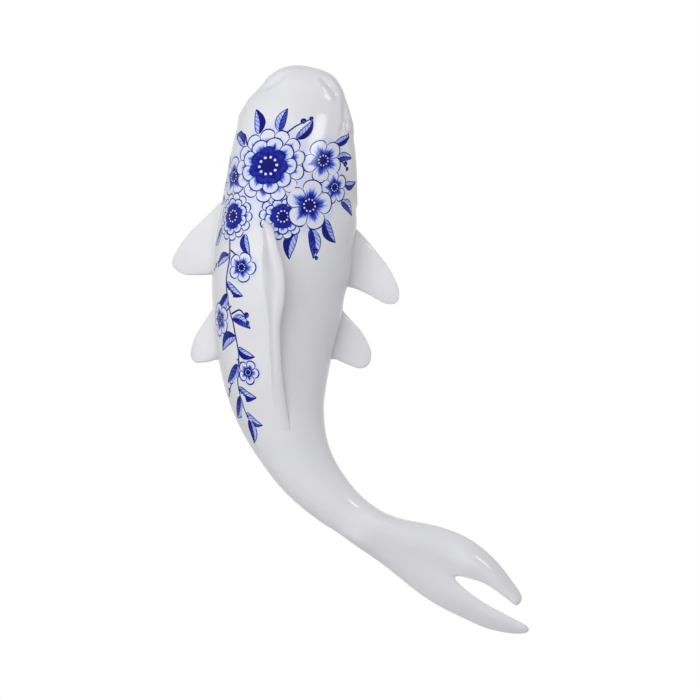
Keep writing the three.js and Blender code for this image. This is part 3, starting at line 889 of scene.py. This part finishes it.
def dorsalRing(station):
    run, length = station - dorsal["start"], dorsal["end"] - dorsal["start"]
    rise = math.sqrt(1 - max(0, 1 - run / dorsal["frontRise"]) ** 2)
    close = math.sqrt(1 - max(0, 1 - (length - run) / dorsal["hindClose"]) ** 2)
    fall = math.cos(math.pi / 2 * run / (length * dorsal["fallStretch"])) ** dorsal["fallPower"]
    sunk = dorsal["sunk"] + dorsal["endSunk"] * (1 - rise ** dorsal["sunkPower"] * close)
    crest = -float(crestShiftAt(station))
    base = float(backAt(station)) - dorsal["sink"]
    height = (dorsal["height"] + dorsal["sink"]) * rise * close * fall
    angles = np.linspace(0, math.pi, dorsal["skinSamples"])
    lift = np.sin(angles)
    aside = halfWidthAt(station) * np.cos(angles) + crest * lift ** 2
    above = body["seam"] + (backAt(station) - body["seam"]) * lift
    fullness = swellAt(place(station, aside, above))
    aside = aside + fullness * np.cos(angles)
    above = above + fullness * lift
    order = np.argsort(aside)

    def onSkin(sideways):
        return np.array([sideways, np.interp(sideways, aside[order], above[order]) - sunk])

    ridge, lip, leftFoot, rightFoot = (
        crest + dorsalPath(name, run) for name in ("ridge", "lip", "leftFoot", "rightFoot"))
    shoulder = dorsalPath("shoulder", run) * (ridge - leftFoot)
    drop = min(dorsal["lipShare"] * height, dorsal["lipDrop"])
    toe, heel = onSkin(leftFoot), onSkin(rightFoot)
    top, edge = np.array([ridge, base + height]), np.array([lip, base + height - drop])
    left = bend(toe, onSkin((leftFoot + ridge - shoulder) / 2),
                top - (shoulder, dorsal["topSlope"] * height), top, dorsal["leftPoints"])
    over = bend(top, top + (dorsal["topReach"] * (lip - ridge), 0),
                edge + (0, dorsal["edgeReach"] * drop), edge, dorsal["edgePoints"])
    under = bend(edge, edge - (0, dorsal["underReach"] * (edge - heel)[1]),
                 onSkin(rightFoot - dorsal["heelReach"]), heel, dorsal["rightPoints"])
    buried = np.array([heel, (heel[0], base - dorsal["root"]), (toe[0], base - dorsal["root"])])
    return place(station, *np.concatenate([left, over, under, buried]).T)


shares = (1 - np.cos(np.linspace(0, math.pi, dorsal["rings"]))) / 2
dorsalRings = [dorsalRing(dorsal["start"] + (dorsal["end"] - dorsal["start"]) * share) for share in shares]
finishPiece(tubePiece("dorsalFin", dorsalRings), clearGlaze, "porcelain", "dorsal_fin")


# Side fins: one Geometry Nodes tree that grows a fin out from the spine's path

sideFins = {  # stations of the root's ends and of the tip, reach, narrowing, sweep, round tip, droop, fillet
    "pectoral_fin_left": {"Side": -1, "Lead": 72, "Trail": 108.3, "Tip": 104, "Reach": 21,
                          "Taper": 0.63, "Sweep": 0.9, "Rounding": 0.42, "Droop": 4, "Fillet": 4.2},
    "pectoral_fin_right": {"Side": 1, "Lead": 77.5, "Trail": 107.5, "Tip": 109.7, "Reach": 25.6,
                           "Taper": 0.52, "Sweep": 1.2, "Rounding": 0.35, "Droop": -3, "Fillet": 4.2},
    "pelvic_fin_left": {"Side": -1, "Lead": 122, "Trail": 147.5, "Tip": 145, "Reach": 11.9,
                        "Taper": 0.68, "Sweep": 0.83, "Rounding": 0.28, "Droop": 4, "Fillet": 1},
    "pelvic_fin_right": {"Side": 1, "Lead": 117.5, "Trail": 147.5, "Tip": 145.5, "Reach": 17.6,
                         "Taper": 0.25, "Sweep": 0.96, "Rounding": 0.46, "Droop": 0, "Fillet": 0.8},
}
finForm = {"Root Height": 11, "Root Half": 2.7, "Tip Half": 1.4, "Bury": 9, "Flare": 0.3}
finShares = ("Side", "Taper", "Sweep", "Rounding")  # plain numbers, all other inputs are lengths
finMesh = {
    "around": 84, "along": 72, "buried": 0.12,  # share of the tube that goes into the body
    "tipLeft": 0.02, "rootFall": 6, "flareAlong": 0.6, "flatness": 0.6,
    "spineStride": 4,  # every fourth sample of the spine is enough
}


def dressTree(sketch, shape, enter, leave):  # the last steps of a tree
    real = sketch.make("GeometryNodeRealizeInstances", {"Geometry": shape})
    dressed = sketch.make("GeometryNodeSetMaterial", {"Geometry": real, "Material": enter["Material"]})
    sketch.fill(leave, {"Geometry": dressed})


def sideFinTree():
    inputs = {"Geometry": "Geometry", **floats([*sideFins["pectoral_fin_left"], "Flank", *finForm]),
              "Material": "Material"}
    sketch, enter, leave = newGroup("sideFin", inputs, {"Geometry": "Geometry"}, "GeometryNodeTree")
    calc, buried = sketch.calc, finMesh["buried"]
    tube = sketch.make("GeometryNodeMeshCylinder", {"Vertices": finMesh["around"], "Radius": 1.0,
                                                    "Side Segments": finMesh["along"], "Depth": 1.0})
    x, y, z = sketch.split(sketch.make("GeometryNodeInputPosition"))
    level = z + 0.5
    sunk = 1 - calc("DIVIDE", level, buried, clamp=True)
    grown = calc("DIVIDE", level - buried, 1 - buried, clamp=True)
    left = sketch.most(1 - grown, finMesh["tipLeft"])
    share = 1 - left * left
    out = share * enter["Reach"] - sunk * enter["Bury"]
    over = calc("DIVIDE", share - (1 - enter["Rounding"]), enter["Rounding"], clamp=True)
    rounding = calc("SQRT", 1 - over * over)
    rootAt = (enter["Lead"] + enter["Trail"]) * 0.5
    middle = sketch.between(share ** enter["Sweep"], rootAt, enter["Tip"])
    nearRoot = (1 - share) ** finMesh["rootFall"]
    flare = nearRoot * enter["Flare"]
    chord = (enter["Trail"] - enter["Lead"]) * 0.5 * (1 - enter["Taper"] * share) * rounding
    chord = chord + flare * finMesh["flareAlong"]
    thick = sketch.between(share, enter["Root Half"], enter["Tip Half"]) * rounding + flare
    flat = calc("SIGN", y) * abs(y) ** finMesh["flatness"]
    fillet = nearRoot * enter["Fillet"] * sketch.most(flat, 0.0)
    height = thick * flat + (enter["Root Height"] - enter["Droop"] * (share * share)) + fillet
    sideways = enter["Side"] * (enter["Flank"] + out)
    path = sketch.make("GeometryNodeMeshToCurve", {"Mesh": enter["Geometry"]})
    spot = sketch.make("GeometryNodeSampleCurve", {"Curves": path, "Length": chord * x + middle}, "Position",
                       mode="LENGTH", use_all_curves=True)
    headX, _, headZ = sketch.split(spot.also("Tangent"))
    shift = sketch.join(headZ * -1 * sideways, height * -1, headX * sideways)
    moved = sketch.make("GeometryNodeSetPosition",
                        {"Geometry": tube, "Position": sketch.vector("ADD", spot, shift)})
    dressTree(sketch, moved, enter, leave)
    return sketch.tree


def growFrom(piece, tree, values):  # set a tree's inputs, bake its mesh
    grow = piece.modifiers.new(tree.name, "NODES")
    grow.node_group = tree
    for item in tree.interface.items_tree:
        if item.item_type == "SOCKET" and item.in_out == "INPUT" and item.name in values:
            grow[item.identifier] = values[item.name]
    bakeModifiers(piece)


def pieceName(node):
    first, *others = node.split("_")
    return first + "".join(word.title() for word in others)


finTree = sideFinTree()
spinePoints = np.stack([spine[:, 0], np.zeros(len(spine)), spine[:, 1]], 1)[::finMesh["spineStride"]]
spineEdges = [(k, k + 1) for k in range(len(spinePoints) - 1)]
for node, sizes in sideFins.items():
    fin = newPiece(pieceName(node), spinePoints, [], spineEdges)
    flank = float(halfWidthAt((sizes["Lead"] + sizes["Trail"]) / 2))
    lengths = {**sizes, **finForm, "Flank": flank}
    values = {key: float(value if key in finShares else value * mm) for key, value in lengths.items()}
    growFrom(fin, finTree, {**values, "Material": clearGlaze})
    reworkMesh(fin)
    finishPiece(fin, clearGlaze, "porcelain", node)


# Tail: a subdivided cage through measured stations, forked into two lobes

tail = {
    "skinStations": [211, 220, 229, 238],  # rings shared with the body
    "ringPoints": 12,
    # x and z of upper edge, middle and lower edge, their heights, thickness above, middle and below
    "web": [
        ((37.4, -154.8), (31.0, -164.0), (24.3, -172.2), (18.0, 18.0, 16.8), (9.0, 8.8, 8.4)),
        ((45.3, -158.4), (40.8, -169.6), (34.5, -179.2), (18.0, 17.8, 14.4), (8.2, 7.0, 6.4)),
        ((53.1, -160.4), (51.0, -175.4), (44.0, -186.4), (18.2, 17.4, 11.6), (7.4, 5.2, 4.9)),
        ((62.2, -162.1), (61.8, -181.4), (54.0, -194.6), (18.5, 17.0, 9.4), (6.6, 3.6, 4.0)),
        ((71.4, -164.6), (73.7, -187.4), (64.0, -201.7), (18.9, 16.8, 7.8), (5.8, 2.0, 3.5)),
    ],
    "webShares": (0.22, 0.60, 0.40, 0.78),  # places of the inner points between the edges and the middle
    "upperLobe": [  # x and z of outer and inner edge, their heights, thickness
        ((81.2, -168.8), (80.6, -187.7), (19.2, 20.4), 5.2),
        ((88.4, -173.7), (87.0, -189.6), (19.4, 21.0), 4.7),
        ((94.9, -179.6), (93.0, -192.7), (19.4, 21.0), 4.1),
        ((100.2, -185.8), (98.6, -196.9), (19.2, 20.4), 3.4),
        ((104.7, -192.0), (102.6, -200.1), (19.0, 19.8), 2.7),
        ((108.3, -197.9), (105.6, -202.3), (18.8, 19.2), 1.9),
    ],
    "lowerLobe": [
        ((73.5, -206.9), (77.4, -192.9), (6.2, 15.6), 3.3),
        ((82.8, -211.4), (84.6, -198.7), (5.4, 14.2), 3.2),
        ((91.0, -214.9), (91.6, -203.2), (5.2, 13.0), 3.0),
        ((98.0, -216.6), (98.4, -206.9), (5.6, 12.2), 2.8),
        ((104.2, -217.6), (104.6, -210.1), (6.6, 11.2), 2.4),
        ((110.6, -217.2), (110.8, -213.3), (8.2, 10.2), 1.8),
    ],
    # points of the last ring that each lobe takes on
    "lobeStarts": {"upperLobe": [0, 1, 2, 3, 9, 10, 11], "lowerLobe": [6, 5, 4, 3, 9, 8, 7]},
    "lobeShares": (0.26, 0.66),
    "innerEdge": 1.0, "innerShare": 0.6,  # half thickness of the edges in the fork, and its most
    "bulge": (0.78, 1.0),  # thickness of the outer and inner points, as shares
    "seat": (1.0, 0.4),  # the tail is cut off just before the body's end
    "levels": 3, "passes": 30,
}


def raised(spots, heights):
    return [np.array([x, -height, z]) for (x, z), height in zip(spots, heights)]


def mixPoint(a, b, share):
    return a * (1 - share) + b * share


def tailRing(start, spots, end=()):  # an edge, the front, the other edge if there is one, the back
    front = [spot - (0, thick, 0) for spot, thick in spots]
    back = [spot + (0, thick, 0) for spot, thick in spots[::-1]]
    return [start, *front, *end, *back]


def tailWebRing(upper, middle, lower, heights, thickness):
    first, second, third, fourth = tail["webShares"]
    outer, inner = tail["bulge"]
    u, m, l = raised((upper, middle, lower), heights)
    above, centre, below = thickness
    return tailRing(u, [(mixPoint(u, m, first), outer * above), (mixPoint(u, m, second), inner * above),
                        (m, centre), (mixPoint(m, l, third), inner * below),
                        (mixPoint(m, l, fourth), outer * below)], [l])


def tailLobeRing(edge, fork, heights, thickness):
    near, beyond = tail["lobeShares"]
    outer, inner = tail["bulge"]
    e, f = raised((edge, fork), heights)
    return tailRing(e, [(mixPoint(e, f, near), outer * thickness),
                        (mixPoint(e, f, beyond), inner * thickness),
                        (f, min(tail["innerEdge"], tail["innerShare"] * thickness))])


def makeTail():
    count = tail["ringPoints"]
    degrees = np.radians(np.arange(count) * 360 / count)
    trunk = []
    for station in tail["skinStations"]:
        station = np.full(count, float(station))
        trunk.append(list(skin(station, degrees, swellAt(skin(station, degrees)))))
    trunk += [tailWebRing(*row) for row in tail["web"]]
    points = [p for ring in trunk for p in ring]
    faces = [f[::-1] for f in gridFaces(len(trunk), count, wrap=True)]
    faces.append(list(range(count)))
    for lobe, taken in tail["lobeStarts"].items():
        ring = [(len(trunk) - 1) * count + k for k in taken]
        for row in tail[lobe]:
            fresh = [len(points) + k for k in range(len(ring))]
            points += tailLobeRing(*row)
            faces += zip(ring, ring[1:] + ring[:1], fresh[1:] + fresh[:1], fresh)
            ring = fresh
        faces.append(ring)
    target = np.array(points)
    piece = newPiece("tailFin", target, faces)
    reworkMesh(piece)
    cage = target.copy()
    smooth = piece.modifiers.new("smooth", "SUBSURF")
    smooth.levels = smooth.render_levels = 1
    for _ in range(tail["passes"]):  # move the cage until its smooth surface meets the stations
        graph = bpy.context.evaluated_depsgraph_get()
        reached = piece.evaluated_get(graph).data
        got = np.empty(len(reached.vertices) * 3)
        reached.vertices.foreach_get("co", got)
        cage += target - got.reshape(-1, 3)[:len(target)] / mm
        piece.data.vertices.foreach_set("co", (cage * mm).ravel())
        piece.data.update()
    smooth.levels = smooth.render_levels = tail["levels"]
    bakeModifiers(piece)

    def trim(work):
        before, seat = place(body["tailJoint"] - np.array(tail["seat"]), 0, body["seam"])
        everything = work.verts[:] + work.edges[:] + work.faces[:]
        cut = bmesh.ops.bisect_plane(work, geom=everything, clear_inner=True, plane_co=seat * mm,
                                     plane_no=seat - before)
        rim = [e for e in cut["geom_cut"] if isinstance(e, bmesh.types.BMEdge)]
        bmesh.ops.contextual_create(work, geom=rim)

    reworkMesh(piece, trim)
    finishPiece(piece, clearGlaze, "porcelain", "tail_fin")


makeTail()


# Eyes: turned beads with a rim, set on the skin

eye = {
    # distance from the axis, height above the skin
    "profile": [(4.7, -1.6), (4.55, -0.4), (4.25, 0.1), (3.85, 0.42), (3.5, 0.5), (3.2, 0.36), (2.95, 0.34),
                (2.7, 0.62), (2.25, 1.12), (1.6, 1.52), (0.8, 1.72)],
    "top": 1.78, "floor": -1.6, "segments": 56, "stepAhead": 1, "stepAround": 0.02,
}


def makeEye(node, degrees):
    station, angle = np.array([float(head["eyeStation"])]), np.radians([degrees])
    step, turn = eye["stepAhead"], eye["stepAround"]
    centre = skin(station, angle)[0]
    ahead = (skin(station + step, angle) - skin(station - step, angle))[0]
    around = (skin(station, angle + turn) - skin(station, angle - turn))[0]
    axis = np.cross(ahead, around)
    axis *= np.sign(np.dot(axis, centre - place(head["eyeStation"], 0, body["seam"]))) / np.linalg.norm(axis)
    first = ahead / np.linalg.norm(ahead)
    second = np.cross(axis, first)
    turns = fullTurn(eye["segments"])[:, None]
    rings = [centre + axis * h + r * (np.cos(turns) * first + np.sin(turns) * second)
             for r, h in eye["profile"]]
    count, rows = eye["segments"], len(rings)
    points = np.concatenate(rings + [[centre + axis * eye["top"], centre + axis * eye["floor"]]])
    faces = gridFaces(rows, count, wrap=True)
    top, floor = rows * count, rows * count + 1
    for k in range(count):
        n = (k + 1) % count
        faces += [((rows - 1) * count + k, (rows - 1) * count + n, top), (n, k, floor)]
    piece = newPiece(pieceName(node), points, faces)
    reworkMesh(piece)
    finishPiece(piece, clearGlaze, "porcelain", node)


for node, degrees in head["eyeAngles"].items():
    makeEye(node, degrees)


# Felt pads: pressed discs with loose fibres grown on them

felt = {
    "pads": {"felt_pad_upper_left": "feltUpperLeft", "felt_pad_upper_right": "feltUpperRight",
             "felt_pad_lower": "feltLower"},
    "inset": 0.12, "edgeRound": 0.45, "edgePoints": 5, "faceRings": (0.3, 0.6, 0.85), "segments": 72,
    "fibres": {"Fibre Length": 1.1 * mm, "Fibre Radius": 0.035 * mm, "Fibre Count": 900.0}, "seed": 7,
    "tipShare": 0.3, "lieLow": (1.35, 0.0, 0.0), "lieHigh": (1.6, 0.0, 6.28),  # tilt and turn of a fibre
}


def feltFuzzTree():
    inputs = {"Geometry": "Geometry", **floats(felt["fibres"]), "Seed": "Int", "Material": "Material"}
    sketch, enter, leave = newGroup("feltFuzz", inputs, {"Geometry": "Geometry"}, "GeometryNodeTree")
    disc, seed, radius = enter["Geometry"], enter["Seed"], enter["Fibre Radius"]
    faceArea = sketch.make("GeometryNodeInputMeshFaceArea")
    area = sketch.make("GeometryNodeAttributeStatistic", {"Geometry": disc, "Attribute": faceArea}, "Sum",
                       data_type="FLOAT", domain="FACE")
    scatter = sketch.make("GeometryNodeDistributePointsOnFaces",
                          {"Mesh": disc, "Density": enter["Fibre Count"] / area, "Seed": seed}, "Points")
    fibre = sketch.make("GeometryNodeMeshCone", {"Vertices": 3, "Radius Bottom": radius,
                                                 "Radius Top": radius * felt["tipShare"],
                                                 "Depth": enter["Fibre Length"]},
                        "Mesh", fill_type="TRIANGLE_FAN")
    lie = sketch.make("FunctionNodeRandomValue", {0: felt["lieLow"], 1: felt["lieHigh"], "Seed": seed},
                      data_type="FLOAT_VECTOR")
    tilt, _, turn = sketch.split(lie)
    upright = sketch.make("FunctionNodeAlignEulerToVector", {"Vector": scatter.also("Normal")}, axis="Z")
    tipped = sketch.make("FunctionNodeRotateEuler", {0: upright, "Rotate By": sketch.join(tilt, 0.0, turn)},
                         rotation_type="EULER", space="LOCAL")
    grown = sketch.make("GeometryNodeInstanceOnPoints",
                        {"Points": scatter, "Instance": fibre, "Rotation": tipped})
    loose = sketch.make("GeometryNodeRealizeInstances", {"Geometry": grown})
    x, y, z = sketch.split(sketch.make("GeometryNodeInputPosition"))
    pressed = sketch.join(x, sketch.calc("MINIMUM", y, 0.0), z)  # the wall presses the fibres flat
    flat = sketch.make("GeometryNodeSetPosition", {"Geometry": loose, "Position": pressed})
    both = sketch.make("GeometryNodeJoinGeometry", {0: disc})
    sketch.feed(both.socket.node.inputs[0], flat)
    dressTree(sketch, both, enter, leave)
    return sketch.tree


def makeFelt(tree, node, name, seed):
    low, high = (np.array(corner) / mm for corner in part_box(node))
    middle = (low + high) / 2
    radius, half = (high[0] - low[0]) / 2 - felt["inset"], (high[1] - low[1]) / 2 - felt["inset"]
    ease = felt["edgeRound"]
    profile = [(radius * share, half) for share in felt["faceRings"]]
    profile += [(radius - ease + ease * math.sin(t), half - ease + ease * math.cos(t))
                for t in np.linspace(0, math.pi / 2, felt["edgePoints"])]
    profile += [(r, -h) for r, h in profile[::-1]]
    spin = fullTurn(felt["segments"])
    rings = [middle + np.stack([r * np.cos(spin), np.full(len(spin), h), r * np.sin(spin)], 1)
             for r, h in profile]
    piece = tubePiece(name, rings)
    growFrom(piece, tree, {**felt["fibres"], "Seed": seed, "Material": woolFelt})
    finishPiece(piece, woolFelt, "felt", node)


fuzzTree = feltFuzzTree()
for step, (node, name) in enumerate(felt["pads"].items()):
    makeFelt(fuzzTree, node, name, felt["seed"] + step)

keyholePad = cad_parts["keyhole_pad"]
keyholePad.data.materials.clear()
keyholePad.data.materials.append(bareBisque)
print("pieces ready")


# Stage

stage = {
    "floorHeight": -0.42, "floorRadius": 0.34, "floorPoints": 96, "floorRoughness": 0.9,
    "floorNoise": (40, 3), "floorTones": ((0.86, 0.86, 0.86, 1), (0.9, 0.9, 0.9, 1)),
    "viewMiddle": (0.0226, -0.018, -0.075), "viewSize": 0.35, "viewDistance": 2.0, "sensorWidth": 36,
    "ambient": 0.35,
    "lamps": {  # place, width, height, power
        "keyLamp": ((-0.25, -1.10, 0.42), 1.3, 1.3, 12.4),
        "rightLamp": ((1.25, 0.50, 0.0), 0.25, 1.2, 3.6),
        "leftLamp": ((-1.45, -0.42, 0.1), 0.25, 1.2, 2.6),
        "backLamp": ((0.3, 1.9, 0.4), 2.2, 2.2, 24.0),
        "glintLamp": ((1.17, -1.12, 0.87), 0.46, 0.46, 10.5),
    },
}


def makeStage():
    turns = fullTurn(stage["floorPoints"])
    reach, level = stage["floorRadius"], stage["floorHeight"]
    ring = np.stack([reach * np.cos(turns), reach * np.sin(turns), np.full(len(turns), level)], 1)
    floor = newPiece("floor", ring / mm, [list(range(len(turns)))])
    material, sketch, shader, at = newMaterial("paleFloor", {"Roughness": stage["floorRoughness"]})
    speckle = sketch.noise(at, *stage["floorNoise"])
    sketch.fill(shader, {"Base Color": sketch.tint(speckle, *stage["floorTones"])})
    floor.data.materials.append(material)

    world = bpy.data.worlds.new("studio")
    bpy.context.scene.world = world
    world.use_nodes = True
    sketch = Sketch(world.node_tree)
    ray = sketch.make("ShaderNodeLightPath", output="Is Camera Ray")
    seen = sketch.most(sketch.most(ray, ray.also("Is Glossy Ray")), ray.also("Is Transmission Ray"))
    strength = sketch.between(seen, stage["ambient"], 1.0)
    sketch.fill(world.node_tree.nodes["Background"], {"Color": (1, 1, 1, 1), "Strength": strength})

    middle = np.array(stage["viewMiddle"])
    for name, (spot, width, height, power) in stage["lamps"].items():
        lamp = bpy.data.lights.new(name, "AREA")
        lamp.shape = "ELLIPSE"
        lamp.size = width
        lamp.size_y = height
        lamp.energy = power
        holder = newObject(name, lamp)
        holder.location = spot
        holder.visible_camera = False
        holder.visible_diffuse = name != "glintLamp"  # only a spark in the glaze
        holder.visible_glossy = name == "glintLamp"
        holder.rotation_euler = Vector(middle - np.array(spot)).to_track_quat("-Z", "Y").to_euler()

    view = bpy.data.cameras.new("view")
    view.sensor_width = stage["sensorWidth"]
    view.lens = view.sensor_width * stage["viewDistance"] / stage["viewSize"]
    viewer = newObject("view", view)
    viewer.location = middle - np.array((0, stage["viewDistance"], 0))
    viewer.rotation_euler = (math.pi / 2, 0, 0)
    bpy.context.scene.camera = viewer
    bpy.context.scene.view_settings.view_transform = "Standard"
    print("stage ready")


makeStage()
